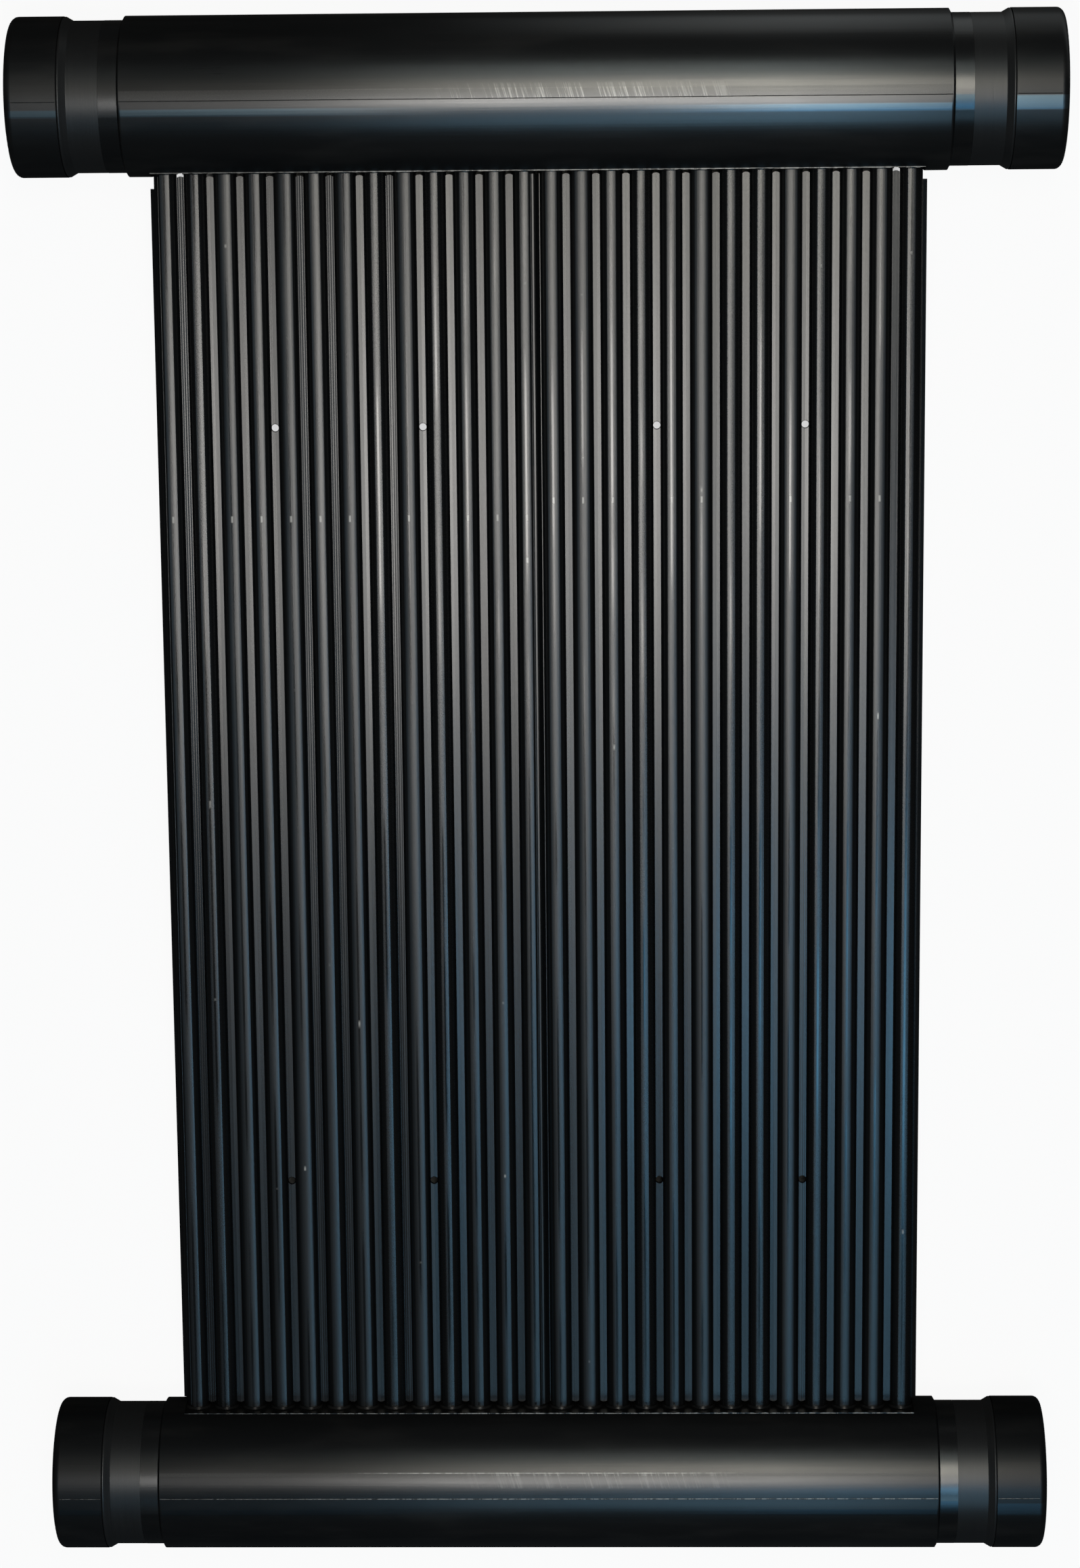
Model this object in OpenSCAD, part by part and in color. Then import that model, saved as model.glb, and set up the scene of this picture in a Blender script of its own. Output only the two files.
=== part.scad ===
// Solar pool heating panel: two header pipes joined by two ribbed absorber sheets.
// It lies flat as it would on a table, with the sunlit face up.
// X runs along the headers, Y from the lower header to the upper one, and Z up.
// The origin is on the surface that it lies on, under the middle of the panel.

/* [Header pipes] */
// Outer diameter of each header pipe, a standard 2 inch size
header_od = 60; // [54:0.5:76]
// Wall of each header pipe
header_wall = 5; // [4.4:0.1:8]
// Distance between the axes of the two headers
header_spacing = 547; // [300:1:1500]
// Depth of the flat that the tubes enter, below the round of the pipe
flat_depth = 1.8; // [1.2:0.1:2.4]
// Spare length of the flat past the outermost tubes, at each end
flat_margin = 0.3; // [0.2:0.1:3]
// Full-diameter land between the flat and each shoulder
shoulder_land = 9.4; // [4:0.2:40]
// Length of the bevel on each shoulder
shoulder_bevel = 0.9; // [0.3:0.1:2]

/* [Header ends] */
// Length of the polished neck next to each shoulder
neck_len = 7; // [4:0.5:20]
// Depth of the neck below the full diameter
neck_depth = 1.6; // [0.8:0.1:2]
// Length of the groove that holds the seal sleeve
groove_len = 15.4; // [10:0.2:30]
// Depth of that groove below the full diameter
groove_depth = 3.2; // [3.15:0.05:3.6]
// Length of the plain lip at each end
lip_len = 19.6; // [8:0.2:40]
// Rounding on the outer edge of the lip
lip_round = 2.8; // [1:0.1:3.4]
// Bevel inside the mouth of the pipe
mouth_bevel = 0.8; // [0.3:0.1:1.4]

/* [Seal sleeves] */
// Wall of the sleeve along its plain length
sleeve_wall = 1.5; // [1:0.1:2.4]
// Wall of the raised rim beside the lip
rim_wall = 3; // [2.6:0.1:3.1]
// Radius of the rounded crown of the rim
rim_r = 0.65; // [0.3:0.05:1]
// Angle of the ramp that climbs from the plain length to the rim
ramp_angle = 30; // [20:1:60]
// Gap between the sleeve and each wall of its groove
sleeve_gap = 0.05; // [0.02:0.01:0.2]

/* [Absorber sheets] */
// Tubes in each of the two sheets
tubes_per_sheet = 13; // [10:1:30]
// Outer diameter of a tube
tube_od = 8.7; // [7:0.1:10]
// Wall of a tube
tube_wall = 0.9; // [0.6:0.1:1.4]
// Visible width of the web between two tubes
web_width = 2.62; // [2.2:0.02:8]
// Thickness of a web
web_thickness = 1.2; // [0.8:0.1:2]
// Distance from the flat of the header to the tip of a web
web_setback = 1.7; // [1.5:0.1:6]
// Radius of the rounded tip of a web, beyond half the web's width
web_tip_spare = 0.5; // [0.2:0.1:2]

/* [Sheet edges] */
// Reach of the lip past the tube on the inner edge of a sheet
lip_reach = 1.3; // [1.1:0.1:4]
// Gap round the lips where those of the two sheets lap in the seam
lap_gap = 0.2; // [0.1:0.05:0.6]
// Height of the lip's flat land above the middle of the tube
lip_root_z = 3.2; // [2.6:0.1:3.4]
// Width of that land, from the tube's surface to the slope
lip_land = 0.65; // [0.3:0.05:1]
// Height of the lip's tip above the middle of the tube
lip_tip_z = 0.8; // [0.6:0.1:1.2]
// Reach of the flange past the tube on the outer edge of a sheet
flange_reach = 1.5; // [0.8:0.1:2.4]
// Thickness of the flange
flange_thickness = 1; // [0.6:0.1:1.4]
// Drop of the flange from its root to its tip
flange_drop = 1; // [0.6:0.1:1.4]
// Radius of the fine bead on each edge tube's flank
bead_r = 0.28; // [0.2:0.02:0.5]
// Sideways distance of the bead from the middle of its tube
bead_offset = 2.5; // [2.2:0.1:3]
// Distance from the upper header's flat to the end of the left flange
left_notch = 6.3; // [2:0.1:20]
// Distance from the upper header's flat to the end of the right flange
right_notch = 4.9; // [2:0.1:20]
// Distance from the lower header's flat to the end of each flange
lower_notch = 3.5; // [2:0.1:20]

/* [Tube sockets] */
// Gap between a tube and its socket in the header
socket_gap = 0.05; // [0.02:0.01:0.15]
// Distance of a tube's end short of the header's bore
tube_recess = 0.3; // [0.1:0.1:1]
// Height of the moulded collar round each tube
collar_height = 0.9; // [0.4:0.1:1.2]
// Wall of the collar at its foot
collar_foot = 0.65; // [0.5:0.05:1]
// Wall of the collar at its top
collar_top = 0.35; // [0.2:0.05:0.45]

/* [Fixing holes] */
// Diameter of the fixing holes
hole_d = 2.8; // [2:0.1:4]
// Bevel round each hole on both faces of the web
hole_bevel = 0.2; // [0.1:0.05:0.4]
// The webs with holes, counted from the outer edge of a sheet
hole_webs = [4, 9]; // [1:1:9]
// Distance of the upper row of holes from the axis of the upper header
upper_hole_inset = 125.3; // [50:0.1:140]
// Distance of the lower row of holes from the axis of the lower header
lower_hole_inset = 122.3; // [50:0.1:140]

/* [Hidden] */
$fn = 48;
turned_fn = 128;
bead_fn = 24;
eps = 0.01;
plastic_black = "#26282a";
sheet_black = "#2f3234";
rubber_grey = "#4a4c4d";

header_r = header_od / 2;
bore_r = header_r - header_wall;
neck_r = header_r - neck_depth;
groove_r = header_r - groove_depth;
flat_r = header_r - flat_depth;
axis_z = header_r;

tube_r = tube_od / 2;
tube_bore_r = tube_r - tube_wall;
tube_pitch = tube_od + web_width;
seam_pitch = tube_od + lip_reach + lap_gap;
tube_span = (tubes_per_sheet - 1) * tube_pitch;
sheet_x = (tube_span + seam_pitch) / 2;

flat_half = sheet_x + tube_span / 2 + tube_r + flat_margin;
body_half = flat_half + shoulder_land;
neck_end = body_half + neck_len;
lip_start = neck_end + groove_len;
header_half = lip_start + lip_len;

tube_half_len = header_spacing / 2 - bore_r - tube_recess;
flat_y = header_spacing / 2 - flat_r;
web_half_len = flat_y - web_setback;
web_root = 0.3;
web_half_width = web_width / 2 + web_root;
web_tip_r = web_half_width + web_tip_spare;
flange_root = 0.9;
socket_r = tube_r + socket_gap;

// Middle of tube i of a sheet, measured from the sheet's middle
function tube_x(i) = i * tube_pitch - tube_span / 2;

// Places of the two rows of fixing holes along the tubes
hole_rows = [lower_hole_inset - header_spacing / 2, header_spacing / 2 - upper_hole_inset];

// One corner of a header's section, from its middle to one end: radius across, length up
module header_half_section() {
    polygon([
        [bore_r, -eps],
        [header_r, -eps],
        [header_r, body_half - shoulder_bevel],
        [neck_r, body_half],
        [neck_r, neck_end],
        [groove_r, neck_end],
        [groove_r, lip_start],
        [header_r, lip_start],
        [header_r, header_half - lip_round],
        [header_r - lip_round, header_half],
        [bore_r + mouth_bevel, header_half],
        [bore_r, header_half - mouth_bevel]
    ]);
    translate([header_r - lip_round, header_half - lip_round])
        circle(r = lip_round);
}

// Pipe of a header, turned about the X axis
module header_pipe() {
    rotate([0, 90, 0])
        rotate_extrude($fn = turned_fn)
            union() {
                header_half_section();
                mirror([0, 1])
                    header_half_section();
            }
}

// Runs its children at every tube of both sheets, with Y along the tube
module at_each_tube() {
    for (side = [-1, 1], i = [0 : tubes_per_sheet - 1])
        translate([side * sheet_x + tube_x(i), 0, 0])
            rotate([90, 0, 0])
                children();
}

// Header with its axis on X and the flat with the tube sockets facing -Y
module header() {
    difference() {
        union() {
            difference() {
                header_pipe();
                translate([-flat_half, -header_od, -header_r])
                    cube([2 * flat_half, header_od - flat_r, header_od]);
            }
            translate([0, -flat_r, 0])
                at_each_tube()
                    translate([0, 0, -eps])
                        cylinder(
                            h = collar_height + eps,
                            r1 = socket_r + collar_foot,
                            r2 = socket_r + collar_top
                        );
        }
        at_each_tube()
            cylinder(h = header_r + collar_height, r = socket_r);
    }
}

module header_top() {
    color(plastic_black)
        translate([0, header_spacing / 2, axis_z])
            header();
}

module header_bottom() {
    color(plastic_black)
        translate([0, -header_spacing / 2, axis_z])
            mirror([0, 1, 0])
                header();
}

// Plan of a web: a strip whose two tips are arcs
module web_plan() {
    tip_y = web_half_len - web_tip_r;
    strip_y = tip_y + sqrt(pow(web_tip_r, 2) - pow(web_half_width, 2));
    square([2 * web_half_width, 2 * strip_y], center = true);
    for (end = [-1, 1])
        intersection() {
            translate([0, end * tip_y])
                circle(r = web_tip_r);
            translate([0, end * web_half_len])
                square([2 * web_half_width, 2 * web_tip_r], center = true);
        }
}

module web() {
    translate([0, 0, -web_thickness / 2])
        linear_extrude(web_thickness)
            web_plan();
}

// Lip of a sheet's inner edge, seen along the tube: a flat land, then a slope down to the tip
module lip_section() {
    surface_x = sqrt(pow(tube_r, 2) - pow(lip_root_z, 2));
    root_x = surface_x - web_root;
    tip_x = tube_r + lip_reach;
    polygon([
        [root_x, lip_root_z],
        [surface_x + lip_land, lip_root_z],
        [tip_x, lip_tip_z],
        [tip_x, lap_gap / 2],
        [root_x, lap_gap / 2]
    ]);
}

// Flange of a sheet's outer edge, seen along the tube
module flange_section() {
    root_x = tube_r - flange_root;
    tip_x = tube_r + flange_reach;
    polygon([
        [-root_x, 0],
        [-tip_x, -flange_drop],
        [-tip_x, -flange_drop - flange_thickness],
        [-root_x, -flange_thickness]
    ]);
}

// Extrudes a section along Y from low to high
module run_along(low, high) {
    translate([0, high, 0])
        rotate([90, 0, 0])
            linear_extrude(high - low)
                children();
}

// Fine bead on a flank of the tube below it
module edge_bead(side) {
    run_along(-web_half_len, web_half_len)
        translate([side * bead_offset, sqrt(pow(tube_r, 2) - pow(bead_offset, 2))])
            circle(r = bead_r, $fn = bead_fn);
}

// Cutter for one fixing hole, bevelled at both faces of the web
module hole_cutter() {
    cylinder(h = tube_od, d = hole_d, center = true);
    for (turn = [0, 180])
        rotate([turn, 0, 0])
            translate([0, 0, web_thickness / 2 - hole_bevel])
                cylinder(h = 2 * hole_bevel, d1 = hole_d, d2 = hole_d + 4 * hole_bevel);
}

// One sheet, centred on X and Y, with its tubes in the plane Z = 0 and its outer edge on the left
module absorber(upper_notch) {
    first_x = tube_x(0);
    last_x = tube_x(tubes_per_sheet - 1);
    difference() {
        union() {
            for (i = [0 : tubes_per_sheet - 1])
                translate([tube_x(i), 0, 0])
                    rotate([90, 0, 0])
                        cylinder(h = 2 * tube_half_len, r = tube_r, center = true);
            for (i = [0 : tubes_per_sheet - 2])
                translate([tube_x(i) + tube_pitch / 2, 0, 0])
                    web();
            translate([first_x, 0, 0]) {
                run_along(lower_notch - flat_y, flat_y - upper_notch)
                    flange_section();
                edge_bead(-1);
            }
            translate([last_x, 0, 0]) {
                run_along(-web_half_len, web_half_len)
                    lip_section();
                edge_bead(1);
            }
        }
        for (i = [0 : tubes_per_sheet - 1])
            translate([tube_x(i), 0, 0])
                rotate([90, 0, 0])
                    cylinder(h = 2 * header_spacing, r = tube_bore_r, center = true);
        for (w = hole_webs, row_y = hole_rows)
            translate([tube_x(w - 1) + tube_pitch / 2, row_y, 0])
                hole_cutter();
    }
}

module absorber_left() {
    color(sheet_black)
        translate([-sheet_x, 0, axis_z])
            absorber(left_notch);
}

// The same sheet turned over, so that its lip laps under the left sheet's lip
module absorber_right() {
    color(sheet_black)
        translate([sheet_x, 0, axis_z])
            rotate([0, 180, 0])
                absorber(right_notch);
}

// Half section of a sleeve: radius across, length up, with a ramp that runs smoothly into the rim's crown
module sleeve_section() {
    inner_r = groove_r + sleeve_gap;
    start = neck_end + sleeve_gap;
    end = lip_start - sleeve_gap;
    crown_r = inner_r + rim_wall - rim_r;
    crown_z = end - rim_r;
    ramp_top_r = crown_r + rim_r * cos(ramp_angle);
    ramp_top_z = crown_z - rim_r * sin(ramp_angle);
    ramp_rise = ramp_top_r - inner_r - sleeve_wall;
    polygon([
        [inner_r, start],
        [inner_r + sleeve_wall, start],
        [inner_r + sleeve_wall, ramp_top_z - ramp_rise / tan(ramp_angle)],
        [ramp_top_r, ramp_top_z],
        [crown_r, crown_z],
        [crown_r, end],
        [inner_r, end]
    ]);
    translate([crown_r, crown_z])
        circle(r = rim_r);
}

// Rubber sleeve in the groove at the header's right end, with its axis on X
module seal_sleeve() {
    color(rubber_grey)
        rotate([0, 90, 0])
            rotate_extrude($fn = turned_fn)
                sleeve_section();
}

// Puts a sleeve at the end given by side, 1 for right, on the header given by row, 1 for top
module place_sleeve(side, row) {
    translate([0, row * header_spacing / 2, axis_z])
        rotate([0, 0, side > 0 ? 0 : 180])
            seal_sleeve();
}

header_top();
header_bottom();
absorber_left();
absorber_right();
place_sleeve(-1, 1);  // seal_sleeve_top_left
place_sleeve(1, 1);  // seal_sleeve_top_right
place_sleeve(-1, -1);  // seal_sleeve_bottom_left
place_sleeve(1, -1);  // seal_sleeve_bottom_right
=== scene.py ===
"""Looks of a solar pool heating panel: black header pipes, ribbed absorber sheets and rubber sleeves."""

import math

import bmesh
import bpy
from mathutils import Matrix, Vector, noise


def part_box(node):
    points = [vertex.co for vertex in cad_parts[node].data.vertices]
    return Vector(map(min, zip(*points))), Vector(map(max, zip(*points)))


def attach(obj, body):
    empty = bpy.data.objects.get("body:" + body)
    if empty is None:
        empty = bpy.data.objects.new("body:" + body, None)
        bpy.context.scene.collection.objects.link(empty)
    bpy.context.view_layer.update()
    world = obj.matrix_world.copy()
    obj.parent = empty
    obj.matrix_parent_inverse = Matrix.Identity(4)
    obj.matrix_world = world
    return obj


MM = 0.001
M_TO_MM = 1000.0
WHITE = (1, 1, 1, 1)

# Camera, fitted to the photograph: place in metres, turns in radians, focal length in pixels of its height
CAMERA_AT = (0.0332, 0.2876, 1.4882)
CAMERA_PITCH = 0.1889
CAMERA_YAW = -0.0236
CAMERA_ROLL = 0.0095
FOCAL_PX = 5638.3
PHOTO_HEIGHT_PX = 2318
SENSOR_MM = 36.0

# Soft lights that face down from one height: middle and size across in metres, radiance, and colour
LIGHT_HEIGHT = 1.9
LIGHTS = {
    "window_near": dict(at=(0.0, -0.07), size=(0.48, 0.32), radiance=18.5, colour=(1.0, 0.97, 0.93)),
    "window_far": dict(at=(0.18, 0.55), size=(0.30, 0.70), radiance=13.0, colour=(1.0, 0.96, 0.84)),
    "window_tail": dict(at=(0.12, 1.40), size=(0.20, 1.00), radiance=4.8, colour=(0.88, 1.0, 0.98)),
    "sky_near": dict(at=(0.355, -0.565), size=(0.41, 0.27), radiance=9.0, colour=(0.22, 0.62, 1.0)),
    "sky_far": dict(at=(0.27, -1.275), size=(0.72, 0.65), radiance=3.1, colour=(0.36, 0.72, 1.0)),
    "sky_left": dict(at=(-0.825, -0.175), size=(0.35, 0.65), radiance=1.2, colour=(0.35, 0.70, 1.0)),
    "sky_side": dict(at=(0.75, 0.10), size=(0.70, 1.40), radiance=0.25, colour=(0.30, 0.60, 1.0)),
}
AMBIENT = 0.03

# Floor: size and depth in metres, its two greys, and how far it glows white to the camera
FLOOR_SIZE = 8.0
FLOOR_DROP = 0.0002
FLOOR_DARK = 0.04
FLOOR_BRIGHT = 0.8
FLOOR_GLOW = 0.93
FLOOR_ROUGHNESS = 0.9

# Where the headers' reflections show the floor bright, and the patch of painted shadow under the sheets, in
# millimetres
BRIGHT_X = (-60.0, 120.0)
BRIGHT_Y = (310.0, 380.0)
SHADE_HALF_X = 126.0
SHADE_SOFT_X = 20.0
SHADE_HALF_Y = 252.0
SHADE_SOFT_Y = 4.0

# Painted pools of light on the floor under the four upper screw holes, in millimetres, and the painted shadow
# left there
LIT_SPOTS_X = (46.2, 104.0)
LIT_SPOTS_Y = 145.3
SPOT_R = 3.0
SPOT_EDGE_R = 5.0
SPOT_SHADE = 0.3

# Sizes of the panel that the frame's boxes don't give, in millimetres
BODY_HALF = 154.99
FLAT_HALF = 145.59
FLAT_AXIS_DIST = 28.2
TUBE_R = 4.35
TUBE_PITCH = 11.32
FLANGE_REACH = 1.5
LIP_REACH = 1.3

PLASTIC_BLACK = (0.0060, 0.0063, 0.0066, 1)
PLASTIC_DUSTY = (0.012, 0.0118, 0.0115, 1)
SCUFF_GREY = (0.62, 0.58, 0.53, 1)
SHEET_BLACK = (0.0022, 0.0025, 0.0028, 1)
SHEET_DUSTY = (0.0046, 0.0048, 0.0050, 1)
# Pale mould flash colour, partly a painted highlight
FLASH_PALE_HIGHLIGHT = (0.34, 0.33, 0.31, 1)
# Painted shade of the top header's crest crease
CREASE_PAINTED_SHADE = (0.0010, 0.0010, 0.0010, 1)
RUBBER_BLACK = (0.008, 0.0082, 0.0085, 1)
RUBBER_DUSTY = (0.024, 0.024, 0.024, 1)
# Painted sky-blue tint of the reflections on the headers' strips
PAINTED_SKY_TINT = (0.58, 0.84, 1.0, 1)

# What differs between the headers, in millimetres. Toward is the side of the sheets on Y, and mould_offset is
# how far the mould line lies from the crest. The scraped band and its tails are measured round the pipe from
# the crest, and chatter and rim are the strengths of its marks and of the line along its rim. Gloss is the
# specular level at the ends and right of the middle, and its factor on the smooth strip, a painted highlight
# that follows where the light falls.
HEADERS = {
    "top": dict(
        toward=-1,
        seed=3.0,
        mould_offset=1.5,
        # The top header's crest line is painted dark, a painted shade of its crease
        painted_crease=True,
        scrape=dict(low=-1.2, high=2.2, tail_low=0.0, tail_high=1.2, chatter=0.85, rim=0.08),
        gloss=dict(ends=0.33, middle=0.92, strip=2.0),
    ),
    "bottom": dict(
        toward=1,
        seed=8.0,
        mould_offset=0.0,
        painted_crease=False,
        scrape=dict(low=9.2, high=10.3, tail_low=-4.5, tail_high=0.0, chatter=0.42, rim=0.80),
        gloss=dict(ends=0.24, middle=0.53, strip=1.0),
    ),
}

# What differs between the sheets, in millimetres: the edge outside the first tube, and the row of light ticks
SHEETS = {
    "left": dict(edge=FLANGE_REACH, seed=11.0, tick_y=113.5),
    "right": dict(edge=LIP_REACH, seed=57.0, tick_y=120.0),
}

# How softly the zones of a header end, in millimetres
NECK_SOFT = 0.1
LIP_SOFT = 0.2
BODY_MARGIN = 0.5
BODY_SOFT = 1.0

# Chatter marks: their slant, their stretch of the pipe, and how they thin out, in millimetres
CHATTER_SLANT = 0.30
CHATTER_BUNDLING = 0.45
CHATTER_CONTRAST = (0.51, 0.64)
CHATTER_X = (-5.0, 48.0)
CHATTER_FADE_X = 35.0
CORE_INSET = 0.2
CORE_SOFT = 0.5
TAIL_SOFT = 0.6
TAIL_STRENGTH = 0.35

# Scraped band and the line along its upper rim, in millimetres
BAND_SOFT = 0.25
RIM_HALF = 0.10
RIM_SOFT = 0.12
RIM_BREAKS = (0.38, 0.56)
RIM_FAINTEST = 0.45
RIM_HALF_X = 45.0
RIM_FADE_X = 40.0

# Gloss of a header, a painted highlight where the light falls, with a painted sky tint on the strips. The
# strips and the polish lie below the crest, in millimetres round the pipe.
SMOOTH_REACH = (20.0, 120.0)
RIGHT_X = (0.0, 1.0)
STRIP = (-7.0, -4.9)
STRIP_WIDE = (-7.0, -2.4)
STRIP_SOFT = 0.7
NECK_STRIP = (-7.0, -2.1)
NECK_STRIP_SOFT = 0.8
POLISH_EDGE = (-8.2, -7.2)
POLISH_LOW = 0.3
POLISH_HIGH = 0.75
MIDDLE_X = (-10.0, 86.0)
MIDDLE_FADE_X = 106.0
WIDE_STRIP_GAIN = 2.0
UNDERSIDE_EDGE = (33.0, 37.0)
UNDERSIDE_GLOSS = 0.35
FLATTER_REACH = 6.8
FLATTER_SHARE = 0.20

# Header colour and roughness
CLOUD_CONTRAST = (0.45, 0.75)
HEADER_ROUGHNESS = 0.215
NECK_ROUGHNESS = 0.26

# Flash: where along the header its pale colour, partly pale flash and partly a painted highlight, fades in
# toward the right and out past the right end, in millimetres, how it breaks up, and its roughness
FLASH_RISE_X = (-150.0, -10.0)
FLASH_FALL_X = (154.0, 165.0)
FLASH_BREAKS = (0.42, 0.56)
FLASH_FAINTEST = 0.2
FLASH_ROUGHNESS = 0.28
CREASE_ROUGHNESS = 0.77

# Sleeves
RUBBER_ROUGHNESS = 0.28

# Absorber: a tube's crown and crest line, in millimetres from its middle, and the crest's height
CROWN_EDGE = (3.2, 4.2)
CROWN_SHARE = 0.68
CREST_NARROWEST = 1.35
CREST_SPREAD = 1.3
CREST_HALF = 0.25
CREST_SOFT = 0.25
CREST_Z = (33.4, 33.8)
WEB_SOFT = 0.25

# Absorber: mean leans of tubes and webs, which webs have stripes, and the stripes' radians a millimetre
TUBE_LEAN_MEAN = 0.07
WEB_LEAN_MEAN = 0.105
STRIPED_ABOVE = (0.80, 0.82)
STRIPE_RATE = 7.0

# Absorber: rubbed spots and ticks on the crests, which tubes have a tick, and the glossier line beside them
RUB_CONTRAST = (0.70, 0.76)
TICK_HALF = 0.9
TICK_SOFT = 0.6
TICK_CHANCE = (0.05, 0.5)
MARK_STRENGTH = 0.60
GLEAM = (-0.35, 0.1)
GLEAM_SOFT = 0.35
GLEAM_CONTRAST = (0.42, 0.58)
SHEET_ROUGHNESS = 0.22

# Mould traces, in millimetres: lines along the crest and below the pipe, and burrs along the flat
TRACE_STEP = 0.8
LINE_WIDTH = 0.40
LINE_HEIGHT = 0.15
LINE_SINK = 0.10
LINE_LOWEST = 0.12
LINE_SHOULDER_AT = 0.3
LINE_SHOULDER = 0.55
LINE_END_GAP = 0.3
LINE_BODY_GAP = 1.0
LINE_LIP_GAP = 3.0
BURR_REACH = 0.42
BURR_LEAST = 0.35
BURR_THICK = 0.16
BURR_SINK = 0.25

# Unevenness of the mould traces: its mean, and the share and changes a millimetre of its two noises
UNEVEN_MEAN = 0.55
FINE_SHARE = 0.9
FINE_RATE = 0.55
COARSE_SHARE = 0.5
COARSE_RATE = 0.09
COARSE_SLICE = 5.0

# Steps between the seeds of one header or sheet
UNDER_SEED = 20
BURR_SEED = 40
WEB_SEED = 0.5


class Tree:
    """The node tree of one material, with a short method for each step that the materials repeat."""

    def __init__(self, name):
        self.material = bpy.data.materials.new(name)
        self.material.use_nodes = True
        self.nodes = self.material.node_tree.nodes
        self.links = self.material.node_tree.links
        self.shader = self.nodes["Principled BSDF"]

    def add(self, kind, **settings):
        node = self.nodes.new("ShaderNode" + kind)
        for key, value in settings.items():
            setattr(node, key, value)
        return node

    def put(self, socket, value):
        """Link another node's output to the socket, or set the socket to a plain value."""
        if isinstance(value, bpy.types.NodeSocket):
            self.links.new(value, socket)
        else:
            socket.default_value = value

    def math(self, operation, *values):
        node = self.add("Math", operation=operation)
        for socket, value in zip(node.inputs, values):
            self.put(socket, value)
        return node.outputs[0]

    def times(self, result, *others):
        for other in others:
            result = self.math("MULTIPLY", result, other)
        return result

    def plus(self, result, *others):
        for other in others:
            result = self.math("ADD", result, other)
        return result

    def minus(self, value, other):
        return self.math("SUBTRACT", value, other)

    def rest(self, value):
        """What is left of 1."""
        return self.math("SUBTRACT", 1.0, value)

    def size(self, value):
        return self.math("ABSOLUTE", value)

    def total(self, *terms):
        """Sum of (value, weight) pairs."""
        return self.plus(*[self.times(value, weight) for value, weight in terms])

    def millimetres(self):
        """Object coordinates in millimetres, which are the panel's: each object sits at the origin."""
        node = self.add("VectorMath", operation="SCALE")
        self.put(node.inputs[0], self.add("TexCoord").outputs["Object"])
        self.put(node.inputs["Scale"], M_TO_MM)
        return node.outputs[0]

    def split(self, vector):
        node = self.add("SeparateXYZ")
        self.put(node.inputs[0], vector)
        return node.outputs[0], node.outputs[1], node.outputs[2]

    def join(self, x=0.0, y=0.0, z=0.0):
        node = self.add("CombineXYZ")
        for socket, value in zip(node.inputs, (x, y, z)):
            self.put(socket, value)
        return node.outputs[0]

    def noise(self, vector, rates=(1.0, 1.0, 1.0), scale=1.0, detail=2.0, roughness=0.5):
        """Noise around 0.5. Rates are how fast it changes along each axis."""
        rated = self.add("VectorMath", operation="MULTIPLY")
        self.put(rated.inputs[0], vector)
        self.put(rated.inputs[1], rates)
        node = self.add("TexNoise")
        self.put(node.inputs["Vector"], rated.outputs[0])
        self.put(node.inputs["Scale"], scale)
        self.put(node.inputs["Detail"], detail)
        self.put(node.inputs["Roughness"], roughness)
        return node.outputs["Fac"]

    def random(self, value):
        """A number from 0 to 1 that jumps with each new value."""
        node = self.add("TexWhiteNoise", noise_dimensions="1D")
        self.put(node.inputs["W"], value)
        return node.outputs["Value"]

    def rise(self, value, low, high):
        """0 below low, 1 above high, smooth between."""
        node = self.add("MapRange", interpolation_type="SMOOTHSTEP")
        for socket, number in zip(node.inputs, (value, low, high, 0.0, 1.0)):
            self.put(socket, number)
        return node.outputs[0]

    def band(self, value, low, high, soft):
        """1 between low and high, 0 outside, with edges that are soft wide. The limits are plain numbers."""
        up = self.rise(value, low - soft, low)
        down = self.rise(value, high, high + soft)
        return self.times(up, self.rest(down))

    def blend(self, factor, low, high):
        """A number that goes from low to high as factor goes from 0 to 1."""
        node = self.add("Mix", data_type="FLOAT")
        for socket, value in zip((node.inputs[0], node.inputs[2], node.inputs[3]), (factor, low, high)):
            self.put(socket, value)
        return node.outputs[0]

    def colour(self, factor, low, high):
        """A colour that goes from low to high as factor goes from 0 to 1."""
        node = self.add("Mix", data_type="RGBA")
        for socket, value in zip((node.inputs[0], node.inputs[6], node.inputs[7]), (factor, low, high)):
            self.put(socket, value)
        return node.outputs[2]

    def flattened(self, offset, width, curve):
        """Height that takes the roundness curve, in 1/mm, off the surface within width of a line."""
        near = self.math("MINIMUM", self.size(offset), width)
        return self.times(near, near, self.times(curve, 0.5))

    def bump(self, height_mm):
        """Surface relief from a height in millimetres."""
        node = self.add("Bump")
        self.put(node.inputs["Strength"], 1.0)
        self.put(node.inputs["Distance"], MM)
        self.put(node.inputs["Height"], height_mm)
        return node.outputs[0]

    def finish(self, colour, roughness, height_mm=None):
        self.put(self.shader.inputs["Base Color"], colour)
        self.put(self.shader.inputs["Roughness"], roughness)
        if height_mm is not None:
            self.put(self.shader.inputs["Normal"], self.bump(height_mm))
        return self.material


class HeaderSkin:
    """Places and zones of a header, in millimetres: x along it, and girth round it from the crest."""

    def __init__(self, tree, axis_y, radius, sleeve_span):
        self.point = tree.millimetres()
        self.x, y, z = tree.split(self.point)
        reach = tree.size(self.x)
        angle = tree.math("ARCTAN2", tree.minus(y, axis_y), tree.minus(z, radius))
        self.girth = tree.times(angle, radius)
        self.neck = tree.band(reach, BODY_HALF, sleeve_span[0], NECK_SOFT)
        self.lip = tree.rise(reach, sleeve_span[1] - LIP_SOFT, sleeve_span[1])
        body_end = BODY_HALF - BODY_MARGIN
        self.body = tree.rest(tree.rise(reach, body_end - BODY_SOFT, body_end))
        self.smooth = tree.times(tree.plus(self.body, self.lip), tree.rise(reach, *SMOOTH_REACH))


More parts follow.
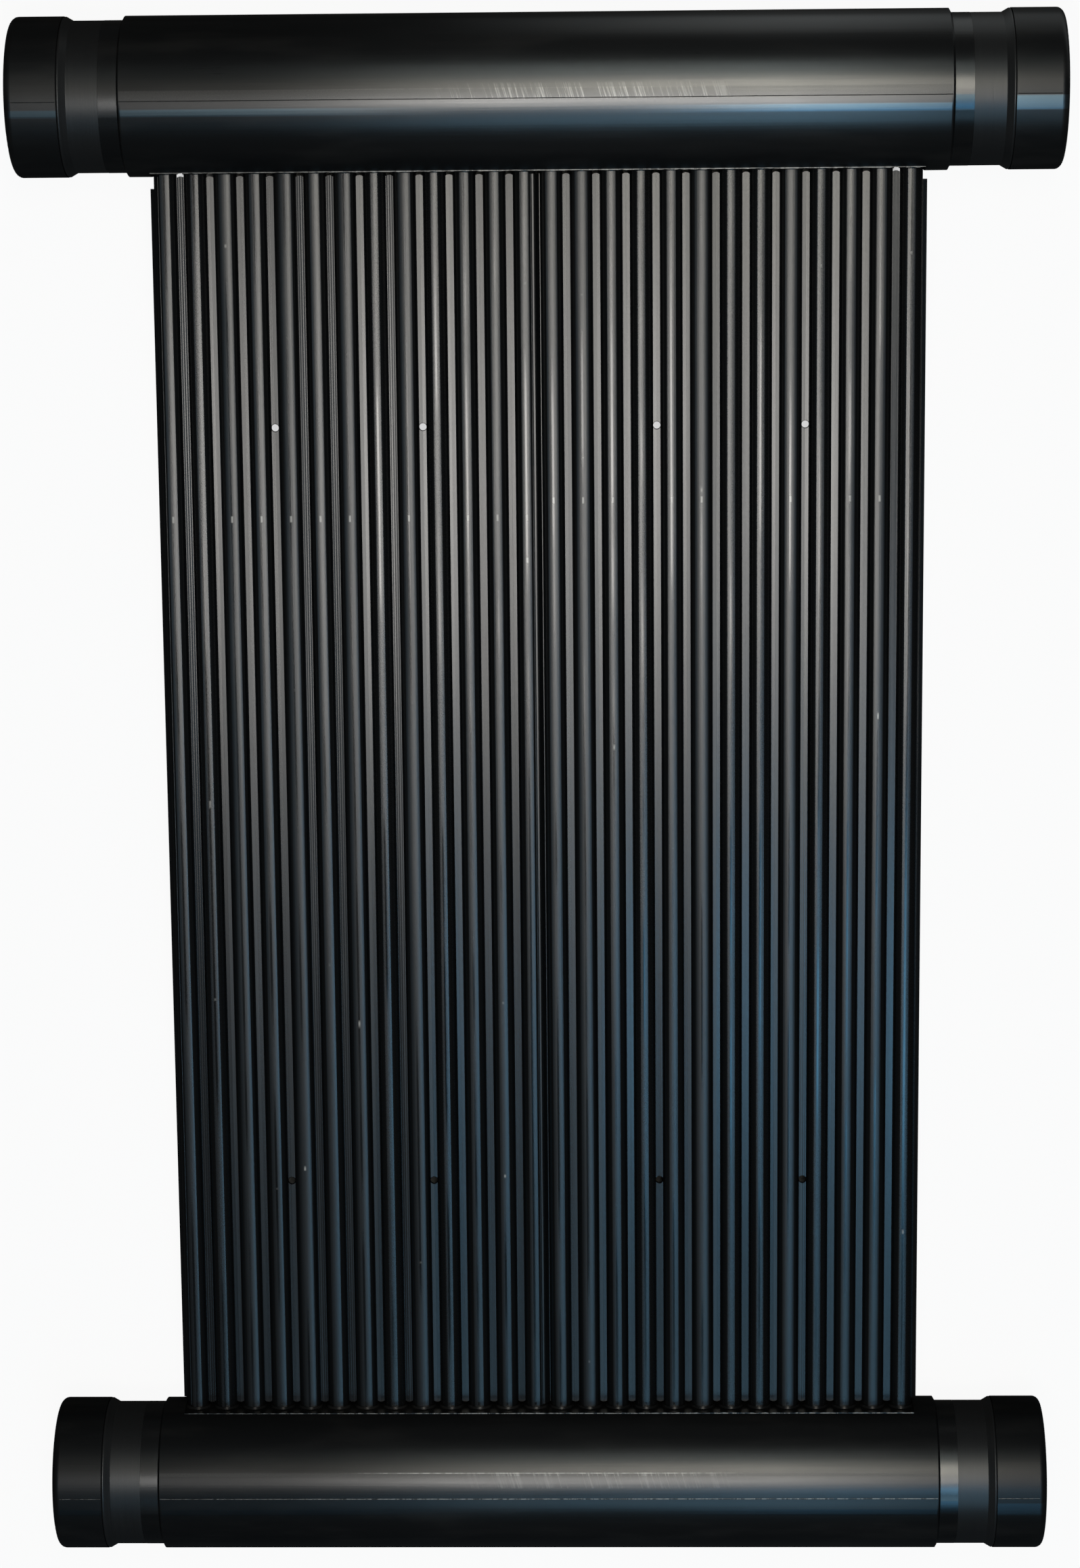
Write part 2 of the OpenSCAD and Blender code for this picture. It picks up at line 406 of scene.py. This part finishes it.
def chatter_marks(tree, skin, scrape, seed):
    """Marks that cross the scraped band at a slant, in bundles, and fade along the pipe and on its tails."""
    slanted = tree.plus(skin.x, tree.times(skin.girth, CHATTER_SLANT))
    bundles = tree.noise(tree.join(slanted, seed), rates=(0.12, 1.0, 1.0))
    unrolled = tree.join(slanted, skin.girth, seed)
    marks = tree.noise(unrolled, rates=(1.0, 0.03, 1.0), scale=0.80, detail=3.0, roughness=0.8)
    marks = tree.plus(marks, tree.times(tree.minus(bundles, 0.5), CHATTER_BUNDLING))
    marks = tree.rise(marks, *CHATTER_CONTRAST)
    low, high = scrape["low"], scrape["high"]
    tail_soft = max(scrape["tail_high"], TAIL_SOFT)
    core = tree.band(skin.girth, low + CORE_INSET, high, CORE_SOFT)
    tails = tree.band(skin.girth, low + scrape["tail_low"], high + scrape["tail_high"], tail_soft)
    across = tree.math("MAXIMUM", core, tree.times(tails, TAIL_STRENGTH))
    return tree.times(marks, tree.band(skin.x, *CHATTER_X, CHATTER_FADE_X), across)


def rim_line(tree, skin, rim, seed):
    """Thin broken line along the upper rim of the scraped band."""
    line = tree.times(tree.band(skin.girth, rim - RIM_HALF, rim + RIM_HALF, RIM_SOFT), skin.body)
    broken = tree.rise(tree.noise(tree.join(skin.x, seed), scale=0.35, detail=3.0), *RIM_BREAKS)
    length = tree.band(skin.x, -RIM_HALF_X, RIM_HALF_X, RIM_FADE_X)
    return tree.times(line, tree.blend(broken, RIM_FAINTEST, 1.0), length)


def put_header_gloss(tree, skin, gloss):
    """Painted highlight: specular level highest right of the middle where the light is brightest, lower near
    the flat, and raised on a smooth strip below the crest near the ends; that strip and the neck's get a
    painted sky-blue reflection tint.
    """
    right = tree.rise(skin.x, *RIGHT_X)
    wide = tree.times(skin.lip, right)
    strip = tree.blend(
        wide,
        tree.band(skin.girth, *STRIP, STRIP_SOFT),
        tree.band(skin.girth, *STRIP_WIDE, STRIP_SOFT),
    )
    strip = tree.times(strip, skin.smooth)
    neck_strip = tree.times(tree.band(skin.girth, *NECK_STRIP, NECK_STRIP_SOFT), skin.neck, right)
    polish = tree.times(skin.neck, tree.blend(tree.rise(skin.girth, *POLISH_EDGE), POLISH_LOW, POLISH_HIGH))

    # Specular level painted higher where the light falls brightest, a painted highlight
    painted_shine = tree.blend(tree.band(skin.x, *MIDDLE_X, MIDDLE_FADE_X), gloss["ends"], gloss["middle"])
    boost = tree.blend(wide, gloss["strip"], WIDE_STRIP_GAIN * gloss["strip"])
    painted_shine = tree.times(painted_shine, tree.blend(strip, 1.0, boost))
    painted_shine = tree.blend(skin.neck, painted_shine, polish)
    underside = tree.rise(tree.size(skin.girth), *UNDERSIDE_EDGE)
    painted_shine = tree.times(painted_shine, tree.blend(underside, 1.0, UNDERSIDE_GLOSS))
    # Painted sky-blue tint of the strips' reflections
    painted_tint = tree.colour(tree.math("MAXIMUM", strip, neck_strip), WHITE, PAINTED_SKY_TINT)
    tree.put(tree.shader.inputs["Specular IOR Level"], painted_shine)
    tree.put(tree.shader.inputs["Specular Tint"], painted_tint)


def header_plastic(name, header, axis_y, radius, sleeve_span):
    """Black pipe plastic with flow lines, a glossy neck, and chatter marks where it was scraped."""
    tree = Tree(name)
    skin = HeaderSkin(tree, axis_y, radius, sleeve_span)
    scrape, seed = header["scrape"], header["seed"]
    unrolled = tree.join(skin.x, skin.girth, seed)
    flow = tree.noise(unrolled, rates=(0.012, 1.6, 1.0), detail=4.0, roughness=0.65)
    cloud = tree.noise(unrolled, rates=(0.02, 0.08, 1.0), detail=3.0)
    grain = tree.noise(skin.point, scale=2.6)
    marks = chatter_marks(tree, skin, scrape, seed)
    scraped = tree.times(tree.band(skin.girth, scrape["low"], scrape["high"], BAND_SOFT), skin.body)
    rim = rim_line(tree, skin, scrape["high"], seed)
    put_header_gloss(tree, skin, header["gloss"])

    wear = tree.total((marks, scrape["chatter"]), (rim, scrape["rim"]), (tree.times(scraped, grain), 0.05))
    tone = tree.colour(tree.rise(cloud, *CLOUD_CONTRAST), PLASTIC_BLACK, PLASTIC_DUSTY)
    tone = tree.colour(tree.math("MINIMUM", wear, 1.0), tone, SCUFF_GREY)

    rough = tree.total((flow, 0.10), (cloud, 0.08), (scraped, 0.04), (skin.lip, 0.06))
    rough = tree.blend(skin.neck, tree.plus(rough, HEADER_ROUGHNESS), NECK_ROUGHNESS)

    below = tree.math("MAXIMUM", tree.times(skin.girth, -1.0), 0.0)
    flatter = tree.times(tree.flattened(below, FLATTER_REACH, FLATTER_SHARE / radius), skin.smooth)
    height = tree.plus(tree.total((flow, 0.016), (grain, 0.006), (marks, 0.010)), flatter)
    return tree.finish(tone, rough, height)


def flash_plastic(name, dash_colour, roughness):
    """Thin mould flash in broken dashes of its dash colour on most of its length, and black between. Pale
    dashes are partly a painted highlight and dark crease dashes are painted shade, both fading toward the
    left.
    """
    tree = Tree(name)
    point = tree.millimetres()
    x = tree.split(point)[0]
    worn = tree.noise(point, rates=(0.45, 0.05, 0.05), detail=4.0, roughness=0.7)
    # The dashes fade toward the left, where less light falls, so they are partly painted light
    painted_dashes = tree.times(tree.rise(x, *FLASH_RISE_X), tree.rest(tree.rise(x, *FLASH_FALL_X)))
    painted_dashes = tree.times(tree.blend(painted_dashes, FLASH_FAINTEST, 1.0), tree.rise(worn, *FLASH_BREAKS))
    tone = tree.colour(painted_dashes, PLASTIC_BLACK, dash_colour)
    return tree.finish(tone, tree.plus(tree.times(worn, 0.10), roughness))


def seal_rubber(name):
    """Rubber with fine turned rings and a soft sheen."""
    tree = Tree(name)
    point = tree.millimetres()
    rings = tree.noise(point, rates=(1.5, 0.02, 0.02), detail=3.0, roughness=0.7)
    grain = tree.noise(point, scale=3.0, detail=3.0)
    tone = tree.colour(tree.times(rings, grain), RUBBER_BLACK, RUBBER_DUSTY)
    rough = tree.plus(tree.total((grain, 0.12), (rings, 0.08)), RUBBER_ROUGHNESS)
    height = tree.total((rings, 0.012), (grain, 0.008))
    return tree.finish(tone, rough, height)


class SheetSkin:
    """Places on a sheet, in millimetres: each tube and each web has a middle and a chance of its own."""

    def __init__(self, tree, first_tube_x, seed):
        self.point = tree.millimetres()
        self.x, self.y, self.z = tree.split(self.point)
        turns = tree.math("DIVIDE", tree.minus(self.x, first_tube_x), TUBE_PITCH)
        self.tube = tree.math("FLOOR", tree.plus(turns, 0.5))
        self.from_tube = tree.times(tree.minus(turns, self.tube), TUBE_PITCH)
        self.tube_chance = tree.random(tree.plus(self.tube, seed))
        web = tree.math("FLOOR", turns)
        self.from_web = tree.times(tree.minus(tree.minus(turns, web), 0.5), TUBE_PITCH)
        self.web_chance = tree.random(tree.plus(web, seed + WEB_SEED))
        half_web = TUBE_PITCH / 2 - TUBE_R
        self.on_web = tree.rest(tree.rise(tree.size(self.from_web), half_web, half_web + WEB_SOFT))
        self.on_crown = tree.rest(tree.rise(tree.size(self.from_tube), *CROWN_EDGE))


def sheet_relief(tree, skin, drift, seed):
    """Height of each tube's and web's own lean, the flatter crests, and fine stripes on some webs."""
    bow = tree.noise(tree.join(skin.x, skin.y, seed), rates=(0.03, 0.003, 1.0), detail=1.0)
    tube_lean = tree.minus(tree.total((skin.tube_chance, 0.07), (drift, 0.07)), TUBE_LEAN_MEAN)
    tube_lean = tree.times(tube_lean, skin.from_tube, skin.on_crown)
    web_lean = tree.minus(tree.total((skin.web_chance, 0.09), (bow, 0.12)), WEB_LEAN_MEAN)
    web_lean = tree.times(web_lean, skin.from_web, skin.on_web)
    crest_width = tree.plus(tree.times(skin.tube_chance, CREST_SPREAD), CREST_NARROWEST)
    crown = tree.flattened(skin.from_tube, crest_width, CROWN_SHARE / TUBE_R)
    striped = tree.times(tree.rise(skin.web_chance, *STRIPED_ABOVE), skin.on_web)
    stripes = tree.times(tree.math("SINE", tree.times(skin.from_web, STRIPE_RATE)), striped)
    return tree.plus(tree.times(stripes, 0.010), tube_lean, web_lean, crown)


def crest_marks(tree, skin, tick_y, seed):
    """Light rubbed spots along the crests, and a row of ticks across the sheet."""
    crest = tree.times(
        tree.band(skin.from_tube, -CREST_HALF, CREST_HALF, CREST_SOFT),
        tree.rise(skin.z, *CREST_Z),
    )
    rubs = tree.noise(tree.join(skin.y, skin.tube, seed), rates=(0.10, 7.3, 1.0))
    rubs = tree.rise(rubs, *RUB_CONTRAST)
    row = tree.band(skin.y, tick_y - TICK_HALF, tick_y + TICK_HALF, TICK_SOFT)
    ticks = tree.times(row, tree.rise(skin.tube_chance, *TICK_CHANCE))
    return tree.times(crest, tree.math("MAXIMUM", rubs, ticks))


def absorber_plastic(name, first_tube_x, seed, tick_y):
    """Extruded plastic: lines along the tubes, a gloss and lean of each tube and web, and light marks."""
    tree = Tree(name)
    skin = SheetSkin(tree, first_tube_x, seed)
    lines = tree.noise(skin.point, rates=(2.2, 0.004, 0.5), detail=4.0, roughness=0.7)
    grain = tree.noise(skin.point, scale=2.2, detail=3.0, roughness=0.7)
    drift = tree.noise(tree.join(skin.y, skin.tube, seed), rates=(0.012, 3.7, 1.0), detail=1.0)

    marks = crest_marks(tree, skin, tick_y, seed)
    tone = tree.colour(grain, SHEET_BLACK, SHEET_DUSTY)
    tone = tree.colour(tree.times(marks, MARK_STRENGTH), tone, SCUFF_GREY)

    gleam = tree.times(tree.band(skin.from_tube, *GLEAM, GLEAM_SOFT), tree.rise(drift, *GLEAM_CONTRAST))
    rough = tree.total(
        (skin.tube_chance, 0.06),
        (lines, 0.06),
        (grain, 0.04),
        (skin.on_web, -0.03),
        (gleam, -0.13),
    )
    rough = tree.plus(rough, SHEET_ROUGHNESS)
    height = tree.total((lines, 0.020), (grain, 0.006))
    height = tree.plus(height, sheet_relief(tree, skin, drift, seed))
    return tree.finish(tone, rough, height)


def new_piece(name, points, faces, material):
    """A mesh object from points in millimetres, which rides on the panel and is finished as its headers."""
    mesh = bpy.data.meshes.new(name)
    mesh.from_pydata([Vector(p) * MM for p in points], [], faces)
    mesh.materials.append(material)
    built = bmesh.new()
    built.from_mesh(mesh)
    bmesh.ops.recalc_face_normals(built, faces=built.faces)
    built.to_mesh(mesh)
    built.free()
    obj = bpy.data.objects.new(name, mesh)
    bpy.context.scene.collection.objects.link(obj)
    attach(obj, "root")
    return obj


def stations(start, end):
    """Places along the pipe from start to end, about one step apart."""
    count = max(2, round((end - start) / TRACE_STEP))
    return [start + (end - start) * i / count for i in range(count + 1)]


def sweep(ring_at, places):
    """Points and faces of a closed strip: ring_at gives the ring of points at each place."""
    rings = [ring_at(place) for place in places]
    points = [point for ring in rings for point in ring]
    count = len(rings[0])
    faces = []
    for i in range(len(rings) - 1):
        for j in range(count):
            a = i * count + j
            b = i * count + (j + 1) % count
            faces.append((a, b, b + count, a + count))
    faces.append(tuple(range(count)))
    faces.append(tuple(range(len(points) - count, len(points))))
    return points, faces


def merge(strips):
    """One list of points and one of faces from several strips."""
    points, faces = [], []
    for strip_points, strip_faces in strips:
        faces += [tuple(i + len(points) for i in face) for face in strip_faces]
        points += strip_points
    return points, faces


def unevenness(x, seed):
    """Between 0 and 1, changing along the pipe in short uneven stretches."""
    fine = noise.noise(Vector((x * FINE_RATE, seed, 0.0)))
    coarse = noise.noise(Vector((x * COARSE_RATE, seed, COARSE_SLICE)))
    return min(1.0, max(0.0, UNEVEN_MEAN + FINE_SHARE * fine + COARSE_SHARE * coarse))


def mould_line(name, line_y, radius, spans, side, seed, material):
    """Low uneven ridge that the mould left along the pipe: side is 1 on the crest and -1 underneath."""

    def ring(x):
        tall = LINE_HEIGHT * (LINE_LOWEST + (1 - LINE_LOWEST) * unevenness(x, seed))
        half = ((0.5, -LINE_SINK), (LINE_SHOULDER_AT, LINE_SHOULDER * tall))
        outline = [(-u, h) for u, h in half] + [(0.0, tall)] + list(reversed(half))
        return [(x, line_y + u * LINE_WIDTH, radius + side * (radius + h)) for u, h in outline]

    points, faces = merge([sweep(ring, stations(start, end)) for start, end in spans])
    return new_piece(name, points, faces, material)


def flat_burr(name, axis_y, radius, toward, seed, material):
    """Thin uneven fins along both edges of the flat: toward is the sheets' side, 1 or -1 on Y."""
    edge_z = math.sqrt(radius ** 2 - FLAT_AXIS_DIST ** 2)
    strips = []
    for side in (1, -1):

        def ring(x):
            far = BURR_REACH * (BURR_LEAST + (1 - BURR_LEAST) * unevenness(x, seed + side))
            y0 = axis_y + toward * (FLAT_AXIS_DIST - BURR_SINK)
            y1 = axis_y + toward * (FLAT_AXIS_DIST + far)
            outer = radius + side * edge_z
            inner = outer - side * BURR_THICK
            return [(x, y0, outer), (x, y1, outer), (x, y1, inner), (x, y0, inner)]

        strips.append(sweep(ring, stations(-FLAT_HALF, FLAT_HALF)))
    points, faces = merge(strips)
    return new_piece(name, points, faces, material)


def place_camera():
    data = bpy.data.cameras.new("camera")
    data.sensor_fit = "AUTO"
    data.sensor_width = SENSOR_MM
    data.lens = FOCAL_PX / PHOTO_HEIGHT_PX * SENSOR_MM
    camera = bpy.data.objects.new("camera", data)
    bpy.context.scene.collection.objects.link(camera)
    turn = Matrix.Rotation(-CAMERA_YAW, 4, "Y") @ Matrix.Rotation(-CAMERA_PITCH, 4, "X")
    turn = turn @ Matrix.Rotation(-CAMERA_ROLL, 4, "Z")
    camera.matrix_world = Matrix.Translation(CAMERA_AT) @ turn
    bpy.context.scene.camera = camera


def add_lights():
    for name, light in LIGHTS.items():
        data = bpy.data.lights.new(name, "AREA")
        data.shape = "RECTANGLE"
        data.size, data.size_y = light["size"]
        data.energy = light["radiance"] * math.pi * data.size * data.size_y
        data.color = light["colour"]
        lamp = bpy.data.objects.new(name, data)
        lamp.visible_camera = False
        lamp.location = (*light["at"], LIGHT_HEIGHT)
        bpy.context.scene.collection.objects.link(lamp)


def add_world():
    """Dim surroundings for the object, and white where the camera looks past the floor."""
    world = bpy.data.worlds.new("world")
    world.use_nodes = True
    bpy.context.scene.world = world
    nodes, links = world.node_tree.nodes, world.node_tree.links
    dim = nodes["Background"]
    dim.inputs["Strength"].default_value = AMBIENT
    dim.inputs["Color"].default_value = WHITE
    white = nodes.new("ShaderNodeBackground")
    white.inputs["Color"].default_value = WHITE
    mix = nodes.new("ShaderNodeMixShader")
    links.new(nodes.new("ShaderNodeLightPath").outputs["Is Camera Ray"], mix.inputs[0])
    links.new(dim.outputs[0], mix.inputs[1])
    links.new(white.outputs[0], mix.inputs[2])
    links.new(mix.outputs[0], nodes["World Output"].inputs[0])


def floor_shade(tree, x, y):
    """Painted shadow: 1 in a patch under the sheets and 0 outside it, and fainter on painted pools of light
    below the upper screw holes.
    """
    shade = tree.times(
        tree.band(x, -SHADE_HALF_X, SHADE_HALF_X, SHADE_SOFT_X),
        tree.band(y, -SHADE_HALF_Y, SHADE_HALF_Y, SHADE_SOFT_Y),
    )
    # Painted pools of light, where light through the upper screw holes would fall on the floor
    along = tree.minus(y, LIT_SPOTS_Y)
    lit_spots = 0.0
    for lit_spot_x in LIT_SPOTS_X:
        aside = tree.minus(tree.size(x), lit_spot_x)
        away_squared = tree.plus(tree.times(aside, aside), tree.times(along, along))
        lit_spot = tree.rest(tree.rise(away_squared, SPOT_R ** 2, SPOT_EDGE_R ** 2))
        lit_spots = tree.math("MAXIMUM", lit_spots, lit_spot)
    return tree.times(shade, tree.blend(lit_spots, 1.0, SPOT_SHADE))


def floor_paint():
    """White to the camera, with a faint shadow and a painted shadow patch under the sheets, and dark in
    reflections except behind the panel.
    """
    tree = Tree("floor")
    x, y, z = tree.split(tree.millimetres())
    seen = tree.add("LightPath").outputs["Is Camera Ray"]
    bright = tree.times(tree.rise(y, *BRIGHT_Y), tree.rise(x, *BRIGHT_X))
    grey = tree.blend(tree.math("MAXIMUM", seen, bright), FLOOR_DARK, FLOOR_BRIGHT)
    tree.put(tree.shader.inputs["Specular IOR Level"], 0.0)
    tree.finish(tree.join(grey, grey, grey), FLOOR_ROUGHNESS)
    # The white glow is taken away in the painted shadow under the sheets, except on the painted pools of
    # light
    glow = tree.times(tree.rest(floor_shade(tree, x, y)), FLOOR_GLOW, seen)
    mix = tree.add("MixShader")
    tree.put(mix.inputs[0], glow)
    tree.put(mix.inputs[1], tree.shader.outputs[0])
    tree.put(mix.inputs[2], tree.add("Emission").outputs[0])
    tree.put(tree.nodes["Material Output"].inputs[0], mix.outputs[0])
    return tree.material


def add_floor():
    half = FLOOR_SIZE / 2
    corners = [(x * half, y * half, -FLOOR_DROP) for x, y in ((-1, -1), (1, -1), (1, 1), (-1, 1))]
    mesh = bpy.data.meshes.new("floor")
    mesh.from_pydata(corners, [], [(0, 1, 2, 3)])
    mesh.materials.append(floor_paint())
    floor = bpy.data.objects.new("floor", mesh)
    bpy.context.scene.collection.objects.link(floor)


def dress(node, material):
    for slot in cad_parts[node].material_slots:
        slot.material = material


def dress_header(row, header):
    """Finish and mould traces of one header: row is top or bottom, and header its entry in HEADERS."""
    toward, seed = header["toward"], header["seed"]
    low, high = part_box("header_" + row)
    radius = (high.z - low.z) / 2 * M_TO_MM
    axis_y = (high.y if toward < 0 else low.y) * M_TO_MM + toward * radius
    sleeve_low, sleeve_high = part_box(f"seal_sleeve_{row}_right")
    sleeve_span = (sleeve_low.x * M_TO_MM, sleeve_high.x * M_TO_MM)
    plastic = header_plastic("header_plastic_" + row, header, axis_y, radius, sleeve_span)
    dress("header_" + row, plastic)
    body_end = BODY_HALF - LINE_BODY_GAP
    lip_start = sleeve_span[1] + LINE_END_GAP
    lip_end = high.x * M_TO_MM - LINE_LIP_GAP
    spans = ((-lip_end, -lip_start), (-body_end, body_end), (lip_start, lip_end))
    line_y = axis_y - header["mould_offset"]
    # Flash on the lower crest line and on the burrs, painted pale as a partly painted highlight
    flash = flash_plastic("flash_plastic_" + row, FLASH_PALE_HIGHLIGHT, FLASH_ROUGHNESS)
    # The top header's crest line gets painted shade: a darker colour for its crease
    crest = flash_plastic("crease_shade_plastic", CREASE_PAINTED_SHADE, CREASE_ROUGHNESS) if header["painted_crease"] else flash
    mould_line("mould_line_crest_" + row, line_y, radius, spans, 1, seed, crest)
    mould_line("mould_line_under_" + row, line_y, radius, spans, -1, seed + UNDER_SEED, plastic)
    flat_burr("flat_burr_" + row, axis_y, radius, toward, seed + BURR_SEED, flash)


def dress_sheet(side, edge, seed, tick_y):
    first_tube_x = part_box("absorber_" + side)[0].x * M_TO_MM + edge + TUBE_R
    dress("absorber_" + side, absorber_plastic("absorber_plastic_" + side, first_tube_x, seed, tick_y))


def dress_sleeves():
    rubber = seal_rubber("seal_rubber")
    for row in HEADERS:
        for side in SHEETS:
            dress(f"seal_sleeve_{row}_{side}", rubber)


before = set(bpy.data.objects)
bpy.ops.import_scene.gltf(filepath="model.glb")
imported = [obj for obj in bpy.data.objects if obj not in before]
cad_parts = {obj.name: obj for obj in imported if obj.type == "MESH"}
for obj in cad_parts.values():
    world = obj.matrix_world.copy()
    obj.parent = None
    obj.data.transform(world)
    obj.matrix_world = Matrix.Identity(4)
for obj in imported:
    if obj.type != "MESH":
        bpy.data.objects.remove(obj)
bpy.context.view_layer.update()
bpy.context.scene.view_settings.view_transform = "Standard"

place_camera()
add_lights()
add_world()
add_floor()

for header_row, header_settings in HEADERS.items():
    dress_header(header_row, header_settings)
for sheet_side, sheet_settings in SHEETS.items():
    dress_sheet(sheet_side, **sheet_settings)
dress_sleeves()
